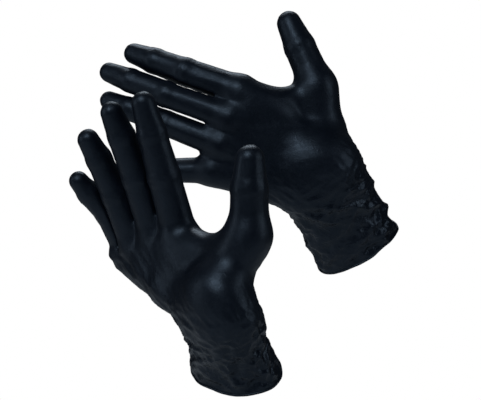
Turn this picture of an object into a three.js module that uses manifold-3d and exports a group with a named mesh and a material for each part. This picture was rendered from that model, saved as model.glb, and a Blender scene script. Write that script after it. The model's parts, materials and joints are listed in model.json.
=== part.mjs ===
// A pair of thin film gloves in the shape that they take on two spread hands.
// Millimetres, +Z up. The origin is the centre of the left glove's wrist.
// The film zones are hollow shells that nest at each bend of the hand, so every zone can turn.

import * as THREE from "three";
import { ConvexGeometry } from "three/addons/geometries/ConvexGeometry.js";
import { mergeVertices } from "three/addons/utils/BufferGeometryUtils.js";
import Module from "manifold-3d";

// Driving dimensions
const HAND_SCALE = 1; // size of the hand that the gloves fit
const GIRTH_SCALE = 1; // thickness of the fingers for their length
const FILM = 0.8; // wall of a shell
const CLEARANCE = 0.3; // gap between two nested or touching shells
const LEFT_CUFF_LENGTH = 64; // wrist to the rim, drawn out
const RIGHT_CUFF_LENGTH = 48; // wrist to the rim, bunched up
const BEAD_RADIUS = 1.1; // rolled rim
const BALL_COVER = 0.7; // how far a nested ball reaches back, as a share of its radius

// Cross sections across the joints: back-to-palm radius, and width as a share of it
const FINGER_SECTIONS = {
  index: { radii: [10.6, 9.1, 8.1], tip: 7.0, knuckleWidth: 0.86 },
  middle: { radii: [10.6, 9.1, 8.1], tip: 7.0, knuckleWidth: 0.86 },
  ring: { radii: [10.4, 8.8, 7.9], tip: 6.9, knuckleWidth: 0.87 },
  little: { radii: [9.8, 8.0, 7.1], tip: 6.3, knuckleWidth: 0.89 },
};
const THUMB_SECTION = { radii: [12.4, 10.4], tip: 9.0, knuckleWidth: 0.95 };
const WRIST = { radius: 22, width: 1.48 };
const CUFF_RIM = { radius: 25.5, width: 1.36 };
const THENAR_RADIUS = 16.5;
const HYPOTHENAR_RADIUS = 14.5;
const PALM_RADIUS = 12;
const WEB_RADIUS = 6.5;
const KNUCKLE_CUT = { reach: 2.6, halfWidth: 1.02 }; // in knuckle radii

// Bends of the hand, in degrees from a straight finger: full flexion and overextension
const KNUCKLE_BEND = { flex: 80, extend: 15 };
const MIDDLE_BEND = { flex: 90, extend: 4 };
const TIP_BEND = { flex: 58, extend: 6 };
const THUMB_KNUCKLE_BEND = { flex: 56, extend: 8 };
const THUMB_TIP_BEND = { flex: 76, extend: 12 };
const WRIST_BEND = { flex: 46, extend: 46 };

const ROOT_SHARE = 0.62; // share of a knuckle's flexing cut that the digit takes, not the palm

const FINGERS = ["index", "middle", "ring", "little"];
const PHALANGES = ["root", "mid", "tip"];

// Joint centres of the two hands, from the knuckle to the fingertip
const HANDS = [
  {
    side: "left",
    wrist: [0, 0, 0],
    cuffToward: [27, 31, -48],
    cuffLength: LEFT_CUFF_LENGTH,
    back: [0.1, -0.98, -0.14],
    thumbBack: [0.5, -0.86, 0.1],
    thenar: [10, 4, 25],
    index: [[-61, -10, 64], [-100, -5, 79], [-123, 4, 88], [-145, 14, 96]],
    middle: [[-68, -13, 45], [-113, -7, 63], [-140, 3, 74], [-163, 14, 82]],
    ring: [[-74, -10, 26], [-115, -3, 43], [-141, 5, 54], [-163, 14, 61]],
    little: [[-80, -4, 7], [-116, 4, 8], [-134, 11, 8], [-151, 18, 8]],
    thumb: [[-4, 3, 69], [-18, 7, 98], [-28, 12, 124]],
  },
  {
    side: "right",
    wrist: [-72, -161, -89],
    cuffToward: [-63, -139, -122],
    cuffLength: RIGHT_CUFF_LENGTH,
    back: [0.69, 0.72, -0.02],
    thumbBack: [0.9, 0.42, 0.1],
    thenar: [-61, -164, -70],
    index: [[-98, -131, -40], [-112, -136, 0], [-119, -142, 27], [-123, -151, 53]],
    middle: [[-114, -119, -39], [-132, -123, -1], [-141, -131, 25], [-144, -143, 47]],
    ring: [[-128, -105, -45], [-147, -108, -12], [-157, -115, 11], [-161, -127, 30]],
    little: [[-139, -92, -57], [-155, -97, -27], [-163, -103, -11], [-169, -111, 3]],
    thumb: [[-55, -168, -36], [-54, -174, -8], [-54, -176, 19]],
  },
];

// Fineness of the meshes
const AROUND_FINGER = 16;
const AROUND_CUFF = 30;
const AROUND_BEAD = 8;
const HULL_AROUND = 16;
const HULL_RINGS = 8;

const wasm = await Module();
wasm.setup();

const group = new THREE.Group();
group.name = "nitrile_glove_pair";
group.userData.joints = [];

const vector = (point) => new THREE.Vector3(...point);

const placed = (point) => vector(point).multiplyScalar(HAND_SCALE);

// A joint's frame: X is the hinge line, Y runs along the film tube and Z faces the back of the hand.
function jointFrame(centre, along, back) {
  const y = along.clone().normalize();
  const x = new THREE.Vector3().crossVectors(y, back).normalize();
  const z = new THREE.Vector3().crossVectors(x, y);
  return new THREE.Matrix4().makeBasis(x, y, z).setPosition(centre);
}

// How steeply a shell's end is cut away on the palm side and on the back, from two angles
const slopes = (palm, back) => ({
  palm: Math.tan(THREE.MathUtils.degToRad(palm)),
  back: Math.tan(THREE.MathUtils.degToRad(back)),
});

// Half of a bend is cut from each of the two shells that meet there.
const halfCut = (bend) => slopes(bend.flex / 2, bend.extend / 2);

// At a knuckle the digit takes most of the cut, so that the palm's socket stays whole.
const rootCut = (bend, rest) => slopes(bend.flex * ROOT_SHARE, bend.extend + rest);

const palmCut = (bend, rest) => slopes(bend.flex * (1 - ROOT_SHARE) - rest, 0);

// How far the cut has moved along the tube at one point of the section
const recess = (cut, angle, radius) => {
  const height = Math.sin(angle) * radius;
  return CLEARANCE / 2 + (height < 0 ? -height * cut.palm : height * cut.back);
};

// The angle at which the nested ball meets the cut at one point round the section
function neckAngle(cut, angle, radius) {
  const rise = Math.sin(angle);
  const steep = (rise < 0 ? cut.palm : cut.back) * Math.abs(rise);
  const lean = Math.atan(steep);
  return Math.acos(CLEARANCE / 2 / (radius * Math.hypot(1, steep))) - lean;
}

const arcPoint = (radius, polar) => ({ y: radius * Math.cos(polar), r: radius * Math.sin(polar) });

// The length at a shell's far end over which its section is steady, so that a ball can turn in it
const steadyEnd = ({ far, tip }) => (far ? far.nested * far.radius : tip);

// A shell along Y. It starts with the ball that nests in the shell before it, and ends in a socket
// rim or a closed tip. The profile is a list of { y, r } round the wall at one angle.
function shellProfile(shell, angle) {
  const { length, near, far, tip } = shell;
  const nearCut = near.cut;
  const ball = near.radius - FILM - CLEARANCE;
  const inside = ball - FILM;
  const open = Math.acos(-BALL_COVER);
  const neck = neckAngle(nearCut, angle, ball);
  const profile = [];
  const radiusAt = (y) => {
    const end = far ? far.radius : tip;
    const start = near.radius * 0.8;
    const span = length - steadyEnd(shell) - start;
    const share = THREE.MathUtils.clamp((y - start) / span, 0, 1);
    return near.radius + (end - near.radius) * share;
  };
  for (const share of [0, 0.5, 1]) {
    profile.push(arcPoint(ball, open + (neck - open) * share));
  }
  const outerStart = recess(nearCut, angle, near.radius);
  const innerStart = recess(nearCut, angle, near.radius - FILM) + FILM * 1.2;
  if (far) {
    const farCut = far.cut;
    const outerEnd = length - recess(farCut, angle, far.radius);
    const innerEnd = length - recess(farCut, angle, far.radius - FILM);
    for (const share of [0, 0.5, 1]) {
      const y = outerStart + (outerEnd - outerStart) * share;
      profile.push({ y, r: radiusAt(y) });
    }
    for (const share of [1, 0.5, 0]) {
      const y = innerStart + (innerEnd - innerStart) * share;
      profile.push({ y, r: radiusAt(y) - FILM });
    }
  } else {
    const dome = length - tip;
    profile.push({ y: outerStart, r: near.radius });
    profile.push({ y: dome, r: tip });
    for (const polar of [1.05, 0.5, 0]) {
      const { y, r } = arcPoint(tip, polar);
      profile.push({ y: dome + y, r });
    }
    for (const polar of [0, 0.5, 1.05]) {
      const { y, r } = arcPoint(tip - FILM, polar);
      profile.push({ y: dome + y, r });
    }
    profile.push({ y: dome, r: tip - FILM });
    profile.push({ y: innerStart, r: near.radius - FILM });
  }
  const innerOpen = Math.acos((-BALL_COVER * ball) / inside);
  for (const share of [1, 0.5, 0]) {
    profile.push(arcPoint(inside, innerOpen + (neck - innerOpen) * share));
  }
  return profile;
}

// The section's width changes between the two joints and is steady across each of them.
function widthAt(shell, y) {
  const start = shell.near.radius;
  const span = shell.length - steadyEnd(shell) - start;
  const share = THREE.MathUtils.clamp((y - start) / span, 0, 1);
  const last = shell.far ? shell.far.width : 1;
  return shell.near.width + (last - shell.near.width) * share;
}

// Joins the profiles round the section into one closed mesh.
function sweepProfiles(profiles, toPoint) {
  const positions = [];
  const indices = [];
  const around = profiles.length;
  const count = profiles[0].length;
  profiles.forEach((profile, i) => {
    const angle = (i / around) * 2 * Math.PI;
    for (const station of profile) {
      positions.push(...toPoint(station, angle));
    }
  });
  const at = (i, j) => (i % around) * count + (j % count);
  for (let i = 0; i < around; i += 1) {
    for (let j = 0; j < count; j += 1) {
      indices.push(at(i, j), at(i + 1, j + 1), at(i + 1, j));
      indices.push(at(i, j), at(i, j + 1), at(i + 1, j + 1));
    }
  }
  const geometry = new THREE.BufferGeometry();
  geometry.setAttribute("position", new THREE.Float32BufferAttribute(positions, 3));
  geometry.setIndex(indices);
  return dropFlatTriangles(mergeVertices(geometry, 1e-4));
}

// A closed tip's poles leave triangles with two equal corners.
function dropFlatTriangles(geometry) {
  const source = geometry.index.array;
  const kept = [];
  for (let k = 0; k < source.length; k += 3) {
    const [a, b, c] = [source[k], source[k + 1], source[k + 2]];
    if (a !== b && b !== c && c !== a) {
      kept.push(a, b, c);
    }
  }
  geometry.setIndex(kept);
  return geometry;
}

function shellGeometry(shell, around) {
  const profiles = [];
  for (let i = 0; i < around; i += 1) {
    profiles.push(shellProfile(shell, (i / around) * 2 * Math.PI));
  }
  return sweepProfiles(profiles, (station, angle) => [
    widthAt(shell, station.y) * station.r * Math.cos(angle),
    station.y,
    station.r * Math.sin(angle),
  ]);
}

function addMesh(name, geometry, matrix, material) {
  geometry.computeVertexNormals();
  const mesh = new THREE.Mesh(geometry, material);
  mesh.name = name;
  mesh.applyMatrix4(matrix);
  group.add(mesh);
}

const filmMaterial = () =>
  new THREE.MeshStandardMaterial({ color: 0x14161b, roughness: 0.42, metalness: 0 });

function noteJoint(name, frame, bend, rest) {
  const x = new THREE.Vector3().setFromMatrixColumn(frame, 0);
  const centre = new THREE.Vector3().setFromMatrixPosition(frame);
  group.userData.joints.push({ name, centre, axis: x.negate(), bend, rest });
}

// A digit's joints are brought onto one plane, so that its hinge lines are parallel.
function digitJoints(points, back) {
  const joints = points.map(placed);
  const along = joints[joints.length - 1].clone().sub(joints[0]);
  const hinge = new THREE.Vector3().crossVectors(along, back).normalize();
  for (const joint of joints) {
    const aside = joint.clone().sub(joints[0]).dot(hinge);
    joint.addScaledVector(hinge, -aside);
  }
  return { joints, back: new THREE.Vector3().crossVectors(hinge, along).normalize() };
}

// Thicker fingers stand further apart, across from the middle finger.
function spreadApart(points, hand) {
  const from = vector(hand.middle[0]);
  const across = vector(hand.index[0]).sub(vector(hand.little[0])).normalize();
  const shift = vector(points[0]).sub(from).dot(across) * (GIRTH_SCALE - 1);
  return points.map((point) => vector(point).addScaledVector(across, shift).toArray());
}

function digitShells(side, digit, points, section, bends, names, back) {
  const { joints, back: digitBack } = digitJoints(points, back);
  let before = null;
  let rootRest = 0;
  names.forEach((phalanx, k) => {
    const along = joints[k + 1].clone().sub(joints[k]);
    const frame = jointFrame(joints[k], along, digitBack);
    const base = before ?? back.clone().cross(along).cross(back).normalize();
    const heading = along.clone().normalize();
    const bent = base.angleTo(heading) * Math.sign(base.clone().sub(heading).dot(digitBack));
    const rest = THREE.MathUtils.radToDeg(bent);
    const last = k === names.length - 1;
    const near = {
      radius: section.radii[k] * GIRTH_SCALE,
      width: before ? 1 : section.knuckleWidth,
      cut: before ? halfCut(bends[k]) : rootCut(bends[k], rest),
    };
    let far = null;
    if (!last) {
      const radius = section.radii[k + 1] * GIRTH_SCALE;
      far = { radius, width: 1, cut: halfCut(bends[k + 1]), nested: 1 };
    }
    const shell = { length: along.length(), near, far, tip: section.tip * GIRTH_SCALE };
    const name = `${side}_${digit}_${phalanx}`;
    addMesh(name, shellGeometry(shell, AROUND_FINGER), frame, filmMaterial());
    noteJoint(`${name}_hinge`, frame, bends[k], rest);
    rootRest = before ? rootRest : rest;
    before = heading;
  });
  return { frame: jointFrame(joints[0], joints[1].clone().sub(joints[0]), digitBack), rest: rootRest };
}

// Points just outside an ellipsoid whose X radius is its width share, so that flat facets between
// them still clear what turns inside it
function ellipsoidPoints(frame, bareRadius, width) {
  const points = [];
  const radius = bareRadius / Math.cos(Math.PI / HULL_AROUND) ** 2;
  for (let ring = 0; ring <= HULL_RINGS; ring += 1) {
    const polar = (ring / HULL_RINGS) * Math.PI;
    for (let i = 0; i < HULL_AROUND; i += 1) {
      const turn = (i / HULL_AROUND) * 2 * Math.PI;
      const across = radius * Math.sin(polar);
      const point = new THREE.Vector3(
        width * radius * Math.cos(polar),
        across * Math.cos(turn),
        across * Math.sin(turn),
      );
      points.push(point.applyMatrix4(frame));
    }
  }
  return points;
}

function toSolid(geometry) {
  const bare = geometry.clone();
  bare.deleteAttribute("normal");
  bare.deleteAttribute("uv");
  const merged = mergeVertices(bare, 1e-4);
  const vertProperties = new Float32Array(merged.attributes.position.array);
  const triVerts = new Uint32Array(merged.index.array);
  return new wasm.Manifold(new wasm.Mesh({ numProp: 3, vertProperties, triVerts }));
}

function fromSolid(solid) {
  const mesh = solid.getMesh();
  const geometry = new THREE.BufferGeometry();
  geometry.setAttribute("position", new THREE.Float32BufferAttribute(mesh.vertProperties, 3));
  geometry.setIndex(Array.from(mesh.triVerts));
  return geometry;
}

// Convex masses over groups of ellipsoids, joined: the form of the palm
function palmForm(groups, inset) {
  const solids = groups.map((masses) => {
    const points = masses.flatMap((m) => ellipsoidPoints(m.frame, m.radius - inset, m.width));
    return toSolid(new ConvexGeometry(points));
  });
  return solids.reduce((sum, solid) => sum.add(solid));
}

// The wedge that a bend sweeps, which opens the palm in front of a joint
function wedgeCutter(frame, cut, halfWidth, reach, depth) {
  const start = -CLEARANCE / 2;
  const outline = new THREE.Shape([
    new THREE.Vector2(start, 0),
    new THREE.Vector2(start - cut.palm * depth, -depth),
    new THREE.Vector2(reach, -depth),
    new THREE.Vector2(reach, depth),
    new THREE.Vector2(start - cut.back * depth, depth),
  ]);
  const geometry = new THREE.ExtrudeGeometry(outline, { depth: 2 * halfWidth, bevelEnabled: false });
  // The outline's X and Y become the frame's Y and Z, and the extrusion runs along the hinge line.
  const turn = new THREE.Matrix4().makeBasis(
    new THREE.Vector3(0, 1, 0),
    new THREE.Vector3(0, 0, 1),
    new THREE.Vector3(1, 0, 0),
  );
  geometry.applyMatrix4(turn);
  geometry.translate(-halfWidth, 0, 0);
  geometry.applyMatrix4(frame);
  return toSolid(geometry);
}

// The offcuts that lie between two neighbouring knuckle cuts fall away.
function largestBody(solid) {
  return solid.decompose().reduce((best, body) => (body.volume() > best.volume() ? body : best));
}

function addPalm(hand, knuckles, thumbKnuckle, wristFrame, back) {
  const masses = {};
  FINGERS.forEach((finger) => {
    const section = FINGER_SECTIONS[finger];
    const radius = section.radii[0] * GIRTH_SCALE;
    masses[finger] = { frame: knuckles[finger].frame, radius, width: section.knuckleWidth };
  });
  const ball = (point, radius) => ({
    frame: new THREE.Matrix4().makeTranslation(point),
    radius: radius * HAND_SCALE,
    width: 1,
  });
  const wristPoint = placed(hand.wrist);
  const between = (a, b, share) => a.clone().lerp(b, share);
  const wrist = { frame: wristFrame, radius: WRIST.radius * HAND_SCALE, width: WRIST.width };
  const thumbRadius = THUMB_SECTION.radii[0] * GIRTH_SCALE;
  const thumbFrame = thumbKnuckle.frame;
  const thumb = { frame: thumbFrame, radius: thumbRadius, width: THUMB_SECTION.knuckleWidth };
  const thenarPoint = placed(hand.thenar);
  const thenar = ball(thenarPoint, THENAR_RADIUS);
  const littleKnuckle = placed(hand.little[0]);
  const heel = between(wristPoint, littleKnuckle, 0.45).addScaledVector(back, -4 * HAND_SCALE);
  const hypothenar = ball(heel, HYPOTHENAR_RADIUS);
  const palmCentre = ball(between(wristPoint, placed(hand.middle[0]), 0.55), PALM_RADIUS);
  const webThumb = ball(between(thenarPoint, placed(hand.thumb[0]), 0.62), WEB_RADIUS);
  const webIndex = ball(between(wristPoint, placed(hand.index[0]), 0.8), WEB_RADIUS);
  const groups = [
    [wrist, masses.index, masses.middle],
    [wrist, masses.middle, masses.ring],
    [wrist, masses.ring, masses.little],
    [wrist, hypothenar, masses.little],
    [wrist, thenar],
    [thenar, thumb],
    [thenar, webThumb, webIndex, palmCentre],
  ];
  let shell = palmForm(groups, 0).subtract(palmForm(groups, FILM));
  FINGERS.forEach((finger) => {
    const reach = KNUCKLE_CUT.reach * masses[finger].radius;
    const halfWidth = KNUCKLE_CUT.halfWidth * masses[finger].radius;
    const { frame, rest } = knuckles[finger];
    const cut = palmCut(KNUCKLE_BEND, rest);
    shell = shell.subtract(wedgeCutter(frame, cut, halfWidth, reach, reach));
  });
  const thumbReach = 1.5 * thumbRadius;
  const thumbCut = palmCut(THUMB_KNUCKLE_BEND, thumbKnuckle.rest);
  shell = shell.subtract(wedgeCutter(thumbFrame, thumbCut, thumbReach, thumbReach, thumbReach));
  const wristReach = 3 * wrist.radius;
  shell = shell.subtract(
    wedgeCutter(wristFrame, halfCut(WRIST_BEND), wristReach, wristReach, wristReach),
  );
  addMesh(`${hand.side}_palm`, fromSolid(largestBody(shell)), new THREE.Matrix4(), filmMaterial());
}

function addCuff(hand, frame) {
  const name = `${hand.side}_cuff`;
  const length = hand.cuffLength;
  const near = { radius: WRIST.radius * HAND_SCALE, width: WRIST.width, cut: halfCut(WRIST_BEND) };
  const rim = CUFF_RIM.radius * HAND_SCALE;
  const far = { radius: rim, width: CUFF_RIM.width, cut: slopes(0, 0), nested: 0 };
  const shell = { length, near, far };
  addMesh(name, shellGeometry(shell, AROUND_CUFF), frame, filmMaterial());
  noteJoint(`${hand.side}_wrist_hinge`, frame, WRIST_BEND, 0);

  const profiles = [];
  for (let i = 0; i < AROUND_CUFF; i += 1) {
    const profile = [];
    for (let j = 0; j < AROUND_BEAD; j += 1) {
      const polar = (j / AROUND_BEAD) * 2 * Math.PI;
      const centre = length + CLEARANCE + BEAD_RADIUS;
      const { y, r } = arcPoint(BEAD_RADIUS, polar);
      profile.push({ y: centre + y, r: rim - FILM / 2 - r });
    }
    profiles.push(profile);
  }
  const bead = sweepProfiles(profiles, (station, angle) => [
    (station.r + (CUFF_RIM.width - 1) * rim) * Math.cos(angle),
    station.y,
    station.r * Math.sin(angle),
  ]);
  addMesh(`${hand.side}_cuff_bead`, bead, frame, filmMaterial());
}

for (const hand of HANDS) {
  const back = vector(hand.back).normalize();
  const thumbBack = vector(hand.thumbBack).normalize();
  const knuckles = {};
  for (const finger of FINGERS) {
    knuckles[finger] = digitShells(
      hand.side,
      finger,
      spreadApart(hand[finger], hand),
      FINGER_SECTIONS[finger],
      [KNUCKLE_BEND, MIDDLE_BEND, TIP_BEND],
      PHALANGES,
      back,
    );
  }
  const thumbKnuckle = digitShells(
    hand.side,
    "thumb",
    hand.thumb,
    THUMB_SECTION,
    [THUMB_KNUCKLE_BEND, THUMB_TIP_BEND],
    ["root", "tip"],
    thumbBack,
  );
  const wristPoint = placed(hand.wrist);
  const cuffAlong = placed(hand.cuffToward).sub(wristPoint);
  const cuffFrame = jointFrame(wristPoint, cuffAlong, back);
  addPalm(hand, knuckles, thumbKnuckle, jointFrame(wristPoint, cuffAlong, back), back);
  addCuff(hand, cuffFrame);
}

export default group;
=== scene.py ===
import json
import math

import bpy
import numpy as np
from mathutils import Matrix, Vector, noise


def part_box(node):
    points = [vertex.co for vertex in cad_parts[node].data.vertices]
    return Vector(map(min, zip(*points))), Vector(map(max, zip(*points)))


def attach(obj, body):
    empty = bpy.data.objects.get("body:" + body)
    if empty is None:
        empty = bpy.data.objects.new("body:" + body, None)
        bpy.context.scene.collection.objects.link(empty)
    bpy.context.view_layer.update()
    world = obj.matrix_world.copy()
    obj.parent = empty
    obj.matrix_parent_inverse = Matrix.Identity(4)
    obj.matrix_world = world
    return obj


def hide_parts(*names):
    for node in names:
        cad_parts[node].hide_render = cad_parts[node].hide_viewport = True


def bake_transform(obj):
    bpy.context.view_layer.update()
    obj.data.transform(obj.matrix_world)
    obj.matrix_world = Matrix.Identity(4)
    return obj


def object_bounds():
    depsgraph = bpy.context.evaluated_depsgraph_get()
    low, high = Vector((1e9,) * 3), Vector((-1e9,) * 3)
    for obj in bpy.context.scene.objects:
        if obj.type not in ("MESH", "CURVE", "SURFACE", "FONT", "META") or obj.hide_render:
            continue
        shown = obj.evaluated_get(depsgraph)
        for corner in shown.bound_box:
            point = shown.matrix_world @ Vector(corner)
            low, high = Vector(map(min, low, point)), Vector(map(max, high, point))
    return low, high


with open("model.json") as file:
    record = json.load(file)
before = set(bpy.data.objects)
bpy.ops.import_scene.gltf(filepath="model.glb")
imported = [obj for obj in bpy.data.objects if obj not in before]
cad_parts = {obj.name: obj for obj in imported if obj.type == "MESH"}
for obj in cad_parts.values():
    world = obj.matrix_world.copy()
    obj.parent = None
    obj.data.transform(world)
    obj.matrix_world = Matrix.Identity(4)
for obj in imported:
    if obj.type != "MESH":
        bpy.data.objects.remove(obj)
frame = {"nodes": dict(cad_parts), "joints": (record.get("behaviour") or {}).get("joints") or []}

cad_box = [list(corner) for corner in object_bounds()]
MM = 0.001


# ---------------------------------------------------------------- camera and stage
# The gloves float as worn on raised hands, so the floor lies well below them. One large soft
# light hangs in front and above, with weaker ones at the sides and behind for the film's edges.
CAMERA_PLACE = Vector((-0.0602, -1.043, -0.0146))
CAMERA_LENS = 106.9
CAMERA_SENSOR = 36.0
FLOOR_DROP = 0.16
FLOOR_SIZE = 0.85
FLOOR_PAINT = (0.80, 0.80, 0.80, 1)
COOL = (0.80, 0.90, 1.0)
LIGHTS = (  # name, place from the gloves' middle, size in metres, watts
    ("front_light", (-0.45, -1.0, 0.85), (0.55, 0.5), 6.5),
    ("right_light", (1.1, -0.45, 0.35), (0.3, 0.8), 1.8),
    ("left_light", (-1.1, -0.25, 0.2), (0.3, 0.8), 1.2),
    ("back_light", (-0.1, 0.8, 1.1), (0.8, 0.35), 4.5),
)
STUDIO_FILL = (0.72, 0.86, 1.0, 1.0)
STUDIO_FILL_STRENGTH = 0.035

camera_data = bpy.data.cameras.new("camera")
camera_data.lens = CAMERA_LENS
camera_data.sensor_width = CAMERA_SENSOR
camera = bpy.data.objects.new("camera", camera_data)
camera.location = CAMERA_PLACE
camera.rotation_euler = (math.radians(90), 0, 0)
bpy.context.scene.collection.objects.link(camera)
bpy.context.scene.camera = camera
bpy.context.scene.view_settings.view_transform = "Standard"


def soft_light(name, place, target, size, power):
    data = bpy.data.lights.new(name, "AREA")
    data.shape = "RECTANGLE"
    data.size, data.size_y = size
    data.energy = power
    data.color = COOL
    light = bpy.data.objects.new(name, data)
    light.location = place
    light.rotation_euler = (target - place).to_track_quat("-Z", "Y").to_euler()
    bpy.context.scene.collection.objects.link(light)


middle = (Vector(cad_box[0]) + Vector(cad_box[1])) / 2
for name, offset, size, power in LIGHTS:
    soft_light(name, middle + Vector(offset), middle, size, power)

world = bpy.data.worlds.new("studio")
bpy.context.scene.world = world
world.use_nodes = True
wn, wl = world.node_tree.nodes, world.node_tree.links
wn.clear()
seen = wn.new("ShaderNodeBackground")
seen.inputs["Color"].default_value = (1.0, 1.0, 1.0, 1.0)
lit = wn.new("ShaderNodeBackground")
lit.inputs["Color"].default_value = STUDIO_FILL
lit.inputs["Strength"].default_value = STUDIO_FILL_STRENGTH
path = wn.new("ShaderNodeLightPath")
mix = wn.new("ShaderNodeMixShader")
out = wn.new("ShaderNodeOutputWorld")
wl.new(path.outputs["Is Camera Ray"], mix.inputs["Fac"])
wl.new(lit.outputs["Background"], mix.inputs[1])
wl.new(seen.outputs["Background"], mix.inputs[2])
wl.new(mix.outputs["Shader"], out.inputs["Surface"])

floor_mesh = bpy.data.meshes.new("floor")
floor_z = cad_box[0][2] - FLOOR_DROP
corners = [(-1, -1), (1, -1), (1, 1), (-1, 1)]
floor_mesh.from_pydata(
    [(middle.x + x * FLOOR_SIZE, middle.y + y * FLOOR_SIZE, floor_z) for x, y in corners],
    [],
    [(0, 1, 2, 3)],
)
floor = bpy.data.objects.new("floor", floor_mesh)
bpy.context.scene.collection.objects.link(floor)
floor_paint = bpy.data.materials.new("pale_floor")
floor_paint.use_nodes = True
floor_shader = floor_paint.node_tree.nodes["Principled BSDF"]
floor_shader.inputs["Base Color"].default_value = FLOOR_PAINT
floor_shader.inputs["Roughness"].default_value = 0.9
floor_mesh.materials.append(floor_paint)


# ---------------------------------------------------------------- the film's hand form
# Each glove is one seamless dipped film, a tenth of a millimetre thick, stretched over the hand
# inside. Its form is the smooth join of the fingers, the palm's masses and the forearm's sleeve.
FINGERS = ("index", "middle", "ring", "little")
FINGER_RADII = {  # at the knuckle, the middle joint, the end joint and the fingertip
    "index": (11.4, 10.5, 9.4, 7.6),
    "middle": (11.0, 9.8, 8.8, 7.3),
    "ring": (10.6, 9.4, 8.5, 7.1),
    "little": (9.8, 8.7, 7.8, 6.4),
}
SLEEVE = {"left": (31.0, 21.0, 2.6), "right": (28.5, 18.0, 5.5)}  # half width, half depth, flare
THUMB_RADII = (12.6, 11.5, 9.0)
RAYS = {  # finger, how far aside its ray starts at the wrist, and its radius there
    "left": (("index", 14, 15.5), ("middle", 5, 16), ("ring", -5, 15.5), ("little", -13, 14)),
    "right": (("index", 11, 13), ("middle", 6, 14), ("ring", -1, 13), ("little", -6, 12)),
}
THENAR = {"left": (14, 3, 17.8), "right": (7, -3, 14.5)}  # aside at the wrist, aside, radius
HEEL = {"left": (6, 14.5, 10), "right": (4, 11, 3)}  # toward the palm, radius, aside
WEB_REACH = {  # from both fingers' knuckles to the web between them
    "left": ((15, 15), (15, 15), (12, 12)),
    "right": ((17, 17), (14, 17), (3, 13)),
}
FINGER_GAP = 2.0 * MM  # between neighbouring fingers beyond their web
SLEEVE_START = 34 * MM  # how far the sleeve's form reaches into the palm
CUFF_SHORT = {"left": 1.2, "right": 11.0}  # how far the film's rim stands back from the bead's place
ROOT_LEAN = {"left": (0, 0, 0), "right": (8.0, 6.0, 1.2)}  # the little finger's flesh, toward the ring
LEAN_WAY = np.array([0.85, 0.0, 0.5])
STEP = 1.15 * MM  # of the grid that the skin is drawn from

joints = {j["name"]: j for j in frame["joints"]}


def hinge(name):
    return np.array(joints[name]["pos_m"]), np.array(joints[name]["axis"])


def unit(v):
    return np.asarray(v) / np.linalg.norm(v)


def far_point(node, origin):
    """The point of a CAD node that lies furthest from a joint's centre."""
    co = np.array([v.co for v in frame["nodes"][node].data.vertices])
    return co[np.argmax(np.linalg.norm(co - origin, axis=1))]


def node_centre(node):
    low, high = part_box(node)
    return np.array((low + high) / 2)


class Hand:
    """The joints, directions and radii of one glove, from the frame."""

    def __init__(self, side):
        self.side = side
        self.wrist, self.wrist_axis = hinge(f"{side}_wrist_hinge")
        rim = node_centre(f"{side}_cuff_bead")
        self.cuff_along = unit(rim - self.wrist)
        self.cuff_length = float(np.linalg.norm(rim - self.wrist)) - CUFF_SHORT[side] * MM
        self.cuff_back = unit(np.cross(self.cuff_along, self.wrist_axis))
        self.cuff_side = np.cross(self.cuff_along, self.cuff_back)
        self.digits = {}
        for digit in FINGERS + ("thumb",):
            parts = ("root", "tip") if digit == "thumb" else ("root", "mid", "tip")
            points = [hinge(f"{side}_{digit}_{part}_hinge")[0] for part in parts]
            axis = hinge(f"{side}_{digit}_root_hinge")[1]
            end = far_point(f"{side}_{digit}_tip", points[-1])
            radii = THUMB_RADII if digit == "thumb" else FINGER_RADII[digit]
            radii = [r * MM for r in radii]
            heading = unit(end - points[-1])
            points.append(end - heading * radii[-1])
            flesh = list(points)
            if digit == "little":
                for k, lean in enumerate(ROOT_LEAN[side]):
                    flesh[k] = points[k] + LEAN_WAY * lean * MM
            self.digits[digit] = {
                "points": points, "flesh": flesh, "radii": radii, "axis": axis, "parts": parts,
            }
        knuckles = [self.digits[f]["points"][0] for f in FINGERS]
        self.radial = unit(knuckles[0] - knuckles[3])
        self.distal = unit(knuckles[1] - self.wrist)
        normal = np.cross(self.radial, self.distal)
        self.back = unit(normal if side == "left" else -normal)

    def beyond(self, p, digit):
        """How far points lie past a digit's first joint, along its root."""
        points = self.digits[digit]["points"]
        return (p - points[0]) @ unit(points[1] - points[0])

    def past_wrist(self, p):
        return (p - self.wrist) @ self.cuff_along

    def around_cuff(self, p):
        """The angle of points round the cuff."""
        return np.arctan2((p - self.wrist) @ self.cuff_back, (p - self.wrist) @ self.cuff_side)


def cone(p, a, b, ra, rb):
    """Distance to a round-ended taper from a to b."""
    along = b - a
    t = np.clip(((p - a) @ along) / (along @ along), 0, 1)[..., None]
    return np.linalg.norm(p - a - t * along, axis=-1) - (ra + (rb - ra) * t[..., 0])


def joined(a, b, soft):
    """Two forms joined with a fillet of about the size soft."""
    h = np.maximum(soft - np.abs(a - b), 0) / soft
    return np.minimum(a, b) - h * h * soft / 4


def digit_form(p, digit):
    """A finger or thumb: tapers from joint to joint, with a round tip."""
    points, radii = digit["flesh"], digit["radii"]
    d = None
    for k in range(len(points) - 1):
        piece = cone(p, points[k], points[k + 1], radii[k], radii[k + 1])
        d = piece if d is None else joined(d, piece, 2.0 * MM)
    return d


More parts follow.
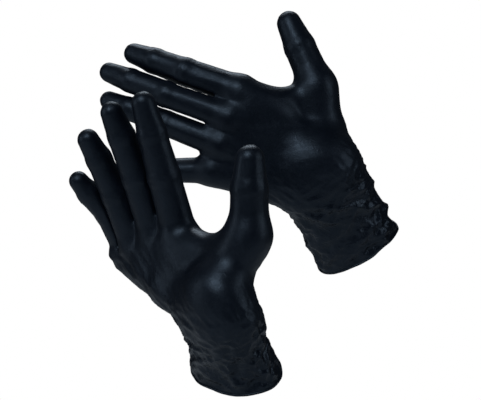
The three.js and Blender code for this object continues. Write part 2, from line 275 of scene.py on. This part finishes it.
def sleeve_form(p, hand):
    """The forearm end: an oval sleeve that widens from the wrist to the rim."""
    q = p - hand.wrist
    y = hand.past_wrist(p)
    x = q @ hand.cuff_side
    z = q @ hand.cuff_back
    share = np.clip(y / hand.cuff_length, 0, 1)
    wide, deep, flare = SLEEVE[hand.side]
    width = (wide + flare * share**1.5) * MM
    depth = (deep + flare * share**1.3) * MM
    inside = np.minimum(y, 0)
    scaled = np.stack([x / width, z / depth, inside / SLEEVE_START], -1)
    slope = np.stack([x / width**2, z / depth**2, inside / SLEEVE_START**2], -1)
    around = np.linalg.norm(scaled, axis=-1) + 1e-9
    wall = (around - 1) * around / (np.linalg.norm(slope, axis=-1) + 1e-6)
    return np.maximum(wall, y - hand.cuff_length - 5 * MM)


def palm_form(p, hand):
    """The rays to the knuckles, the thumb's and little finger's mounds and the thumb's web."""
    wrist, back, radial = hand.wrist, hand.back, hand.radial
    knuckle = {f: hand.digits[f]["flesh"][0] for f in FINGERS}
    thumb = hand.digits["thumb"]["points"][0]
    d = None
    for f, aside, rw in RAYS[hand.side]:
        start = wrist + radial * aside * MM
        ray = cone(p, start, knuckle[f], rw * MM, FINGER_RADII[f][0] * 1.06 * MM)
        d = ray if d is None else joined(d, ray, 9 * MM)
    side_wrist, side_thenar, round_thenar = (v * MM for v in THENAR[hand.side])
    thenar = wrist + 0.42 * (thumb - wrist) - back * 7 * MM + radial * side_thenar
    beside = wrist + radial * side_wrist - back * 3 * MM
    d = joined(d, cone(p, beside, thenar, round_thenar, round_thenar), 10 * MM)
    d = joined(d, cone(p, thenar, thumb, round_thenar, THUMB_RADII[0] * 1.05 * MM), 10 * MM)
    sunk, round_heel, aside = (v * MM for v in HEEL[hand.side])
    heel = wrist + 0.5 * (knuckle["little"] - wrist) - back * sunk
    if hand.side == "right":
        heel = heel + radial * 2 * MM
    d = joined(d, cone(p, wrist - radial * aside, heel, round_heel, round_heel), 9 * MM)
    d = joined(d, cone(p, heel, knuckle["little"], round_heel, 9 * MM), 9 * MM)
    web_thumb = thenar + 0.80 * (thumb - thenar)
    web_index = wrist + 0.86 * (knuckle["index"] - wrist)
    d = joined(d, cone(p, web_thumb, web_index, 8 * MM, 9 * MM), 16 * MM)
    return d


def web_form(p, hand):
    """The small webs between neighbouring finger roots."""
    d = None
    for pair, reaches in zip(zip(FINGERS, FINGERS[1:]), WEB_REACH[hand.side]):
        ends = []
        for f, reach in zip(pair, reaches):
            points = hand.digits[f]["points"]
            ends.append(points[0] + unit(points[1] - points[0]) * (reach - 5) * MM)
        web = cone(p, ends[0], ends[1], 5.0 * MM, 5.0 * MM)
        d = web if d is None else np.minimum(d, web)
    return d


def hand_form(p, hand):
    d = joined(palm_form(p, hand), sleeve_form(p, hand), 14 * MM)
    bare = [digit_form(p, hand.digits[f]) for f in FINGERS]
    fingers = np.minimum.reduce(bare)
    d = joined(d, digit_form(p, hand.digits["thumb"]), 7 * MM)
    d = joined(d, fingers, 5 * MM)
    d = joined(d, web_form(p, hand), 5 * MM)
    beyond = [hand.beyond(p, f) for f in FINGERS]
    for k, (near, far) in enumerate(WEB_REACH[hand.side]):
        slit = (FINGER_GAP - np.abs(bare[k] - bare[k + 1])) / 2
        slit = np.minimum(slit, np.minimum(beyond[k] - near * MM, beyond[k + 1] - far * MM))
        d = np.maximum(d, slit)
    return d


def skin_mesh(form, low, high, step):
    """Vertices and quads of a form's surface, from a grid of that step."""
    axes = [np.arange(low[k], high[k] + step, step) for k in range(3)]
    shape = tuple(len(a) for a in axes)
    values = np.empty(shape, np.float32)
    yy, zz = np.meshgrid(axes[1], axes[2], indexing="ij")
    for i, x in enumerate(axes[0]):
        values[i] = form(np.stack([np.full_like(yy, x), yy, zz], -1))
    corner = [values[i:shape[0] - 1 + i, j:shape[1] - 1 + j, k:shape[2] - 1 + k]
              for i in (0, 1) for j in (0, 1) for k in (0, 1)]
    low_corner = np.minimum.reduce(corner)
    high_corner = np.maximum.reduce(corner)
    mixed = (low_corner < 0) & (high_corner >= 0)
    index = np.full(mixed.shape, -1, np.int64)
    cells = np.argwhere(mixed)
    index[mixed] = np.arange(len(cells))
    total = np.zeros((len(cells), 3))
    count = np.zeros(len(cells))
    picked = [c[mixed] for c in corner]
    places = np.array([(i, j, k) for i in (0, 1) for j in (0, 1) for k in (0, 1)], float)
    for a in range(8):
        for b in range(a + 1, 8):
            if np.abs(places[a] - places[b]).sum() != 1:
                continue
            va, vb = picked[a], picked[b]
            cross = (va < 0) != (vb < 0)
            t = np.where(cross, va / np.where(cross, va - vb, 1), 0)
            point = places[a] + t[:, None] * (places[b] - places[a])
            total += point * cross[:, None]
            count += cross
    verts = np.array(low) + (cells + total / count[:, None]) * step
    quads = []
    for axis in range(3):
        others = [k for k in range(3) if k != axis]
        first = [slice(None)] * 3
        second = [slice(None)] * 3
        first[axis], second[axis] = slice(0, -1), slice(1, None)
        va, vb = values[tuple(first)], values[tuple(second)]
        cross = (va < 0) != (vb < 0)
        for k in others:
            edge = [slice(None)] * 3
            edge[k] = [0, -1]
            cross[tuple(edge)] = False
        at = np.argwhere(cross)
        step_a = np.zeros(3, int)
        step_b = np.zeros(3, int)
        step_a[others[0]] = 1
        step_b[others[1]] = 1
        ring = [at, at - step_a, at - step_a - step_b, at - step_b]
        q = np.stack([index[tuple(r.T)] for r in ring], 1)
        inward = va[tuple(at.T)] < 0
        if axis == 1:
            inward = ~inward
        q[~inward] = q[~inward][:, ::-1]
        quads.append(q)
    return verts, np.concatenate(quads)


def slopes(form, p, reach=0.3 * MM):
    grads = [form(p + e) - form(p - e) for e in np.eye(3) * reach]
    return np.stack(grads, -1) / (2 * reach)


def settle(verts, quads, form, rounds=3):
    """Evens out the mesh and lays it back on its form."""
    edges = np.unique(np.sort(np.concatenate([quads[:, [k, (k + 1) % 4]] for k in range(4)]), 1), axis=0)
    degree = np.bincount(edges.ravel(), minlength=len(verts))[:, None]
    for _ in range(rounds):
        total = np.zeros_like(verts)
        np.add.at(total, edges[:, 0], verts[edges[:, 1]])
        np.add.at(total, edges[:, 1], verts[edges[:, 0]])
        verts = verts + 0.7 * (total / np.maximum(degree, 1) - verts)
        g = slopes(form, verts)
        size = np.maximum((g * g).sum(1, keepdims=True), 0.2)
        verts = verts - form(verts)[:, None] * g / size
    return verts


def vertex_normals(verts, quads):
    a, b, c, d = (verts[quads[:, k]] for k in range(4))
    face = np.cross(c - a, d - b)
    total = np.zeros_like(verts)
    for k in range(4):
        np.add.at(total, quads[:, k], face)
    return total / np.maximum(np.linalg.norm(total, axis=1, keepdims=True), 1e-12)


def noise_at(p, scale, seed):
    """Smooth noise of -1 to 1 at points, with features of about that many millimetres."""
    q = p / (scale * MM) + np.array([seed * 7.3, seed * 3.1, seed * 5.7])
    return np.array([noise.noise(v) for v in q])


def creases(p, along, spacing, stretch, seed, bend=1.0):
    """Sharp ridges of 0 to 1 that run roughly along a direction, as thin film folds do."""
    along = unit(along)
    lengthwise = (p @ along)[:, None] * along
    q = (p - lengthwise) + lengthwise / stretch
    q = q + bend * 0.25 * spacing * MM * noise_at(p, spacing * 2.4, seed + 3)[:, None]
    return 1 - np.abs(noise_at(q, spacing, seed)) * 2.2


def ramp(x, low, high):
    t = np.clip((x - low) / (high - low), 0, 1)
    return t * t * (3 - 2 * t)


PALM_FOLDS = {"left": (0.5, 0.7), "right": (0.8, 0.25)}  # the palm folds' strength and slant
CUFF_FOLDS = {  # each cuff fold: how it leans from running round, its spacing and height, in mm
    "left": {"wrist": 0.8, "cuff": ((0.0, 12, 1.7), (0.7, 15, 1.9), (-0.9, 9, 1.0), (0.3, 5, 0.5))},
    "right": {"wrist": 1.1, "cuff": ((0.0, 7, 1.1), (0.6, 9, 1.1), (-0.7, 6, 0.8), (0.2, 4, 0.5))},
}


def fold_relief(p, hand):
    """How far the film stands off its smooth form, in millimetres."""
    side = hand.side
    seed = 1 if side == "left" else 11
    y = hand.past_wrist(p) / MM
    digit_near = np.full(len(p), 1e3)
    total = np.zeros(len(p))
    for name, digit in hand.digits.items():
        points = digit["points"]
        distance = digit_form(p, digit) / MM
        beyond = hand.beyond(p, name) / MM
        on_digit = ramp(-distance, -2.5, 0.0) * ramp(beyond, 4, 16)
        digit_near = np.minimum(digit_near, np.where(beyond > 0, distance, 1e3))
        heading = points[-1] - points[0]
        total += on_digit * 0.20 * (creases(p, heading, 8.0, 5.0, seed + 1) - 0.45)
        total += on_digit * 0.07 * (creases(p, heading, 3.4, 4.0, seed + 2) - 0.45)
        for k in range(1, len(points) - 1):
            off_joint = (p - points[k]) @ unit(points[k + 1] - points[k - 1]) / MM
            at_joint = np.exp(-((off_joint / 6.5) ** 2))
            across = creases(p, digit["axis"], 3.6, 3.5, seed + 4 + k)
            total += on_digit * at_joint * 0.20 * (across - 0.45)
    hand_part = ramp(digit_near, 0.3, 5.0)
    loose, aslant = PALM_FOLDS[side]
    pull = hand.radial * aslant - hand.distal
    palm_area = hand_part * ramp(-y, -6, 10)
    total += palm_area * 0.30 * loose * (creases(p, pull, 14, 3.6, seed + 8) - 0.5)
    total += palm_area * 0.14 * loose * (creases(p, pull, 6.0, 3.6, seed + 9) - 0.5)
    around, along = hand.wrist_axis, hand.cuff_along
    above_wrist = hand_part * np.exp(-(((y + 13) / 11) ** 2))
    total += above_wrist * 0.55 * (creases(p, hand.distal, 6, 4.5, seed + 10) - 0.5)
    total += above_wrist * 0.25 * (creases(p, hand.distal, 3.2, 4, seed + 11) - 0.5)
    folds = CUFF_FOLDS[side]
    wrist_zone = np.exp(-(((y - 1) / 11) ** 2))
    total += wrist_zone * folds["wrist"] * (creases(p, around, 5.5, 3.6, seed + 12) - 0.5)
    cuff_zone = ramp(y, -3, 12)
    for k, (lean, spacing, height) in enumerate(folds["cuff"]):
        run = around + lean * along
        total += cuff_zone * height * (creases(p, run, spacing, 3.6, seed + 15 + k, 1.6) - 0.5)
    calm = 1 - 0.75 * ramp(y, hand.cuff_length / MM - 5, hand.cuff_length / MM)
    return total * calm


HANDS = {side: Hand(side) for side in ("left", "right")}
ROOM = 9 * MM  # of the grid round a glove's nodes
skins = {}
for side, hand in HANDS.items():
    boxes = [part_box(n) for n in frame["nodes"] if n.startswith(side)]
    low = np.min([np.array(b[0]) for b in boxes], 0) - ROOM
    high = np.max([np.array(b[1]) for b in boxes], 0) + ROOM
    form = lambda p, hand=hand: hand_form(p, hand)
    verts, quads = skin_mesh(form, low, high, STEP)
    verts = settle(verts, quads, form)
    normals = vertex_normals(verts, quads)
    place = verts.copy()
    verts = verts + normals * (fold_relief(verts, hand) * MM)[:, None]
    loose = ramp(hand.past_wrist(place) / MM, -16, 12)
    skins[side] = {"verts": verts, "quads": quads, "place": place, "loose": loose}


# ---------------------------------------------------------------- film material
# The film is near black with a blue cast. It was dipped over a textured former, so it has a fine
# satin grain, and stretching leaves pale streaks and polished patches with a little dust.
LOOSE_CREASE = 0.5
LOOSE_GLOSS = 0.10
SATIN = (0.40, 0.50)  # roughness, polished and plain
DUST_COLOUR = (0.10, 0.11, 0.12, 1)
DUST_SHARE = 0.03
SHEEN_TINT = (0.66, 0.82, 1.0, 1)
SHEEN = 0.42
FILM_IOR = 1.5
DEEP, PALE = (0.0014, 0.0026, 0.0062), (0.0036, 0.0054, 0.0104)


def spread(tree, stops, low=0.0, high=1.0):
    """A node that lays a value between two stops over low to high."""
    node = tree.nodes.new("ShaderNodeMapRange")
    node.inputs["From Min"].default_value = stops[0]
    node.inputs["From Max"].default_value = stops[1]
    node.inputs["To Min"].default_value = low
    node.inputs["To Max"].default_value = high
    return node


def film_group():
    """Masks and a normal for dipped film: its grain, fine creases, stretch marks and dust."""
    tree = bpy.data.node_groups.new("film_surface", "ShaderNodeTree")
    face = tree.interface
    face.new_socket("Place", in_out="INPUT", socket_type="NodeSocketVector")
    for name, value in (("Grain", 0.12), ("Crease", 0.35)):
        face.new_socket(name, in_out="INPUT", socket_type="NodeSocketFloat").default_value = value
    for name in ("Stretch", "Dust", "Wear"):
        face.new_socket(name, in_out="OUTPUT", socket_type="NodeSocketFloat")
    face.new_socket("Normal", in_out="OUTPUT", socket_type="NodeSocketVector")
    nodes, links = tree.nodes, tree.links
    given = nodes.new("NodeGroupInput")
    result = nodes.new("NodeGroupOutput")

    def field(scale, detail, rough, distortion=0.0):
        node = nodes.new("ShaderNodeTexNoise")
        node.inputs["Scale"].default_value = scale
        node.inputs["Detail"].default_value = detail
        node.inputs["Roughness"].default_value = rough
        node.inputs["Distortion"].default_value = distortion
        links.new(given.outputs["Place"], node.inputs["Vector"])
        return node

    for name, noise_node, stops in (
        ("Stretch", field(0.045, 4, 0.55, 0.6), (0.35, 0.68)),
        ("Dust", field(1.6, 3, 0.6), (0.66, 0.78)),
        ("Wear", field(0.16, 5, 0.65, 1.2), (0.45, 0.7)),
    ):
        mask = spread(tree, stops)
        links.new(noise_node.outputs["Fac"], mask.inputs["Value"])
        links.new(mask.outputs["Result"], result.inputs[name])
    folds = field(0.22, 3, 0.5, 1.5)
    folds.noise_type = "RIDGED_MULTIFRACTAL"
    fine = field(2.6, 2, 0.5)
    crease, grain = nodes.new("ShaderNodeBump"), nodes.new("ShaderNodeBump")
    for bump, name, height, reach in (
        (crease, "Crease", folds, 0.0009),
        (grain, "Grain", fine, 0.00025),
    ):
        bump.inputs["Distance"].default_value = reach
        links.new(given.outputs[name], bump.inputs["Strength"])
        links.new(height.outputs["Fac"], bump.inputs["Height"])
    links.new(crease.outputs["Normal"], grain.inputs["Normal"])
    links.new(grain.outputs["Normal"], result.inputs["Normal"])
    return tree


FILM_SURFACE = film_group()


def film_material(name, rough=SATIN, grain=0.25, crease=0.12):
    """One slot's film. Where the film hangs loose it is glossier and more sharply creased."""
    material = bpy.data.materials.new(name)
    material.use_nodes = True
    nodes, links = material.node_tree.nodes, material.node_tree.links
    shader = nodes["Principled BSDF"]
    place = nodes.new("ShaderNodeAttribute")
    place.attribute_name = "skin_place"
    slack = nodes.new("ShaderNodeAttribute")
    slack.attribute_name = "skin_loose"
    surface = nodes.new("ShaderNodeGroup")
    surface.node_tree = FILM_SURFACE
    surface.inputs["Grain"].default_value = grain
    links.new(place.outputs["Vector"], surface.inputs["Place"])
    creasing = spread(material.node_tree, (0.0, 1.0), crease, LOOSE_CREASE)
    links.new(slack.outputs["Fac"], creasing.inputs["Value"])
    links.new(creasing.outputs["Result"], surface.inputs["Crease"])
    tint = nodes.new("ShaderNodeMix")
    tint.data_type = "RGBA"
    tint.inputs["A"].default_value = (*DEEP, 1)
    tint.inputs["B"].default_value = (*PALE, 1)
    links.new(surface.outputs["Stretch"], tint.inputs["Factor"])
    dusty = nodes.new("ShaderNodeMix")
    dusty.data_type = "RGBA"
    dusty.inputs["B"].default_value = DUST_COLOUR
    share = nodes.new("ShaderNodeMath")
    share.operation = "MULTIPLY"
    share.inputs[1].default_value = DUST_SHARE
    links.new(surface.outputs["Dust"], share.inputs[0])
    links.new(share.outputs["Value"], dusty.inputs["Factor"])
    links.new(tint.outputs["Result"], dusty.inputs["A"])
    links.new(dusty.outputs["Result"], shader.inputs["Base Color"])
    satin = spread(material.node_tree, (0.0, 1.0), rough[0], rough[1])
    links.new(surface.outputs["Wear"], satin.inputs["Value"])
    glossier = nodes.new("ShaderNodeMath")
    glossier.operation = "MULTIPLY_ADD"
    glossier.inputs[1].default_value = -LOOSE_GLOSS
    links.new(slack.outputs["Fac"], glossier.inputs[0])
    links.new(satin.outputs["Result"], glossier.inputs[2])
    links.new(glossier.outputs["Value"], shader.inputs["Roughness"])
    links.new(surface.outputs["Normal"], shader.inputs["Normal"])
    shader.inputs["Specular IOR Level"].default_value = SHEEN
    shader.inputs["Specular Tint"].default_value = SHEEN_TINT
    shader.inputs["IOR"].default_value = FILM_IOR
    return material


PALM_FILM = film_material("palm_film")
FINGER_FILM = film_material("finger_film")
CUFF_FILM = film_material("cuff_film")


# ---------------------------------------------------------------- parting the skin
# The real film has no seams. Here it is parted just before each joint's bend, into one piece for each
# part of the frame. Nothing shows at the lines.
PART_GAP = 1.5 * STEP  # a bend starts this far past the parting line
THUMB_CLEAR = {"left": 7.5, "right": 6.0}  # from the thumb's joint to the web's edge
THUMB_BEND, FINGER_BEND = 0.85, 0.95  # half a bend's length, in joint radii
WEB_CLEAR = 3.2  # from a web's edge to the parting line, in mm
LONGEST_BEND = 15 * MM
WRIST_HALF = 13 * MM  # half the length that the wrist bends over


def digit_planes(hand, name):
    """For each joint of a digit: its body, its parting point, its bend's ends and direction."""
    digit = hand.digits[name]
    points, radii = digit["points"], digit["radii"]
    bend = THUMB_BEND if name == "thumb" else FINGER_BEND
    rows = []
    for k, part in enumerate(digit["parts"]):
        if k == 0:
            heading = unit(points[1] - points[0])
            if name == "thumb":
                clear = THUMB_CLEAR[hand.side]
            else:
                place = FINGERS.index(name)
                webs = WEB_REACH[hand.side]
                before_it = webs[place - 1][1] if place > 0 else 0
                after_it = webs[place][0] if place < 3 else 0
                clear = max(before_it, after_it) + WEB_CLEAR
            parting = points[0] + heading * clear * MM
            start = parting + heading * PART_GAP
            length = np.linalg.norm(points[1] - points[0])
            room = length - clear * MM - bend * radii[1] - 2.3 * PART_GAP
            end = start + heading * min(room, LONGEST_BEND)
            before = f"{hand.side}_palm"
        else:
            incoming = unit(points[k] - points[k - 1])
            outgoing = unit(points[k + 1] - points[k])
            heading = unit(incoming + outgoing)
            half = bend * radii[k]
            start = points[k] - heading * half
            end = points[k] + heading * half
            parting = start - heading * PART_GAP
            before = f"{hand.side}_{name}_{digit['parts'][k - 1]}"
        rows.append({
            "body": f"{hand.side}_{name}_{part}", "before": before,
            "parting": parting, "start": start, "end": end, "heading": heading,
        })
    return rows


def skin_piece(name, skin, faces, material, thickness=0.0):
    """A mesh object of some of a skin's faces, with a second wall inside if it has a thickness."""
    used = np.unique(faces)
    index = np.full(len(skin["verts"]), -1)
    index[used] = np.arange(len(used))
    verts = skin["verts"][used]
    place = skin["place"][used]
    loose = skin["loose"][used]
    piece_normals = skin["normals"][used]
    quads = index[faces]
    if thickness:
        inner = verts - piece_normals * thickness
        quads = np.concatenate([quads, quads[:, ::-1] + len(verts)])
        verts = np.concatenate([verts, inner])
        place = np.concatenate([place, place])
        loose = np.concatenate([loose, loose])
        piece_normals = np.concatenate([piece_normals, -piece_normals])
    mesh = bpy.data.meshes.new(name)
    mesh.from_pydata(verts.tolist(), [], quads.tolist())
    mesh.polygons.foreach_set("use_smooth", [True] * len(mesh.polygons))
    rest = mesh.attributes.new("skin_place", "FLOAT_VECTOR", "POINT")
    rest.data.foreach_set("vector", (place / MM).astype(np.float32).ravel())
    slack = mesh.attributes.new("skin_loose", "FLOAT", "POINT")
    slack.data.foreach_set("value", loose.astype(np.float32))
    mesh.materials.append(material)
    mesh.update()
    mesh.normals_split_custom_set_from_vertices(piece_normals.tolist())
    piece = bpy.data.objects.new(name, mesh)
    bpy.context.scene.collection.objects.link(piece)
    return piece


RIM_WAVES = ((0.9, 2, 0.6), (0.5, 5, 0.0))  # height in mm, waves round the rim, start
for side, hand in HANDS.items():
    skin = skins[side]
    quads, place = skin["quads"], skin["place"]
    y = hand.past_wrist(place)
    around = hand.around_cuff(place)
    rim = hand.cuff_length + sum(h * np.sin(n * around + start) for h, n, start in RIM_WAVES) * MM
    over = np.maximum(y - rim, 0)
    quads = quads[(over[quads] <= 0).any(1)]
    skin["verts"] = skin["verts"] - over[:, None] * hand.cuff_along
    skin["normals"] = vertex_normals(skin["verts"], quads)
    region = np.zeros(len(place), int)
    region[y > -WRIST_HALF - PART_GAP] = 1
    region[y > WRIST_HALF] = 2
    nearest = np.argmin([digit_form(place, hand.digits[d]) for d in hand.digits], axis=0)
    rows = []
    for d, name in enumerate(hand.digits):
        code = 0
        for row in digit_planes(hand, name):
            beyond = (place - row["parting"]) @ row["heading"] > 0
            mine = beyond & (region == code)
            if code == 0:
                mine &= nearest == d
            code = 3 + len(rows)
            region[mine] = code
            rows.append(row)
    # a face that crosses a parting line goes with the piece nearer the palm
    skin["quads"], skin["rows"] = quads, rows
    skin["face_region"] = region[quads].min(1)


# ---------------------------------------------------------------- hands
# The film over the palm, the back of the hand and the thumb's web, up to the finger roots. It is
# stretched smooth over the palm's masses, with slack folds toward the wrist.
for side in HANDS:
    skin = skins[side]
    hand_piece = skin_piece(f"{side}_hand_skin", skin, skin["quads"][skin["face_region"] == 0], PALM_FILM)
    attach(hand_piece, f"{side}_palm")
    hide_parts(f"{side}_palm")


# ---------------------------------------------------------------- wrists and cuffs
# The film's forearm end. It hangs loose past the wrist, so it crumples into sharp folds, and its
# inside shows at the rim. The same film runs on into the hand.
FILM_WALL = 0.35 * MM
for side, hand in HANDS.items():
    skin = skins[side]
    wrist_piece = skin_piece(f"{side}_wrist_skin", skin, skin["quads"][skin["face_region"] == 1], PALM_FILM)
    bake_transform(wrist_piece)
    cuff_faces = skin["quads"][skin["face_region"] == 2]
    cuff_piece = skin_piece(f"{side}_cuff_skin", skin, cuff_faces, CUFF_FILM, FILM_WALL)
    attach(cuff_piece, f"{side}_cuff")
    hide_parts(f"{side}_cuff")


# ---------------------------------------------------------------- fingers and thumbs
# The film over each finger's three parts and each thumb's two, drawn tight and smooth, with small
# folds at the joints.
for side in HANDS:
    skin = skins[side]
    for code, row in enumerate(skin["rows"], 3):
        faces = skin["quads"][skin["face_region"] == code]
        piece = skin_piece(f"{row['body']}_skin", skin, faces, FINGER_FILM)
        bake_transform(piece)
        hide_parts(row["body"])


# ---------------------------------------------------------------- rolled rims
# The film's edge, rolled up on itself into a thin bead when the glove was stripped from its
# former. It follows the cuff's own wavy edge.
BEAD_STATIONS, BEAD_SIDES, BEAD_RADIUS = 160, 12, 0.85 * MM
BEAD_LOOSE = 0.3
BEAD_FILM = film_material("bead_film", (0.44, 0.54), 0.2)


def edge_loop(hand, skin):
    """The skin's open edge at the cuff as an even, slightly smoothed loop of points."""
    quads = skin["quads"]
    edges = np.sort(np.concatenate([quads[:, [k, (k + 1) % 4]] for k in range(4)]), 1)
    keys, counts = np.unique(edges, axis=0, return_counts=True)
    points = skin["verts"][np.unique(keys[counts == 1])]
    turn = hand.around_cuff(points)
    order = np.argsort(turn)
    points, turn = points[order], turn[order]
    wanted = np.linspace(-math.pi, math.pi, BEAD_STATIONS, endpoint=False)
    wrap = np.concatenate([turn - 2 * math.pi, turn, turn + 2 * math.pi])
    loop = np.stack([np.interp(wanted, wrap, np.tile(points[:, k], 3)) for k in range(3)], 1)
    for _ in range(2):
        loop = 0.5 * loop + 0.25 * (np.roll(loop, 1, 0) + np.roll(loop, -1, 0))
    return loop


for side, hand in HANDS.items():
    loop = edge_loop(hand, skins[side])
    centre = loop.mean(0)
    ring = []
    for station in loop:
        outward = station - centre
        outward = unit(outward - (outward @ hand.cuff_along) * hand.cuff_along)
        for j in range(BEAD_SIDES):
            angle = 2 * math.pi * j / BEAD_SIDES
            spoke = math.cos(angle) * outward + math.sin(angle) * hand.cuff_along
            ring.append(station + BEAD_RADIUS * spoke)
    faces = []
    for i in range(BEAD_STATIONS):
        this, after = i * BEAD_SIDES, (i + 1) % BEAD_STATIONS * BEAD_SIDES
        for j in range(BEAD_SIDES):
            beside = (j + 1) % BEAD_SIDES
            faces.append((this + j, this + beside, after + beside, after + j))
    ring, faces = np.array(ring), np.array(faces)
    normals = vertex_normals(ring, faces)
    bead_skin = {"verts": ring, "place": ring, "loose": np.full(len(ring), BEAD_LOOSE), "normals": normals}
    bead = skin_piece(f"{side}_rolled_rim", bead_skin, faces, BEAD_FILM)
    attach(bead, f"{side}_cuff")
    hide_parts(f"{side}_cuff_bead")
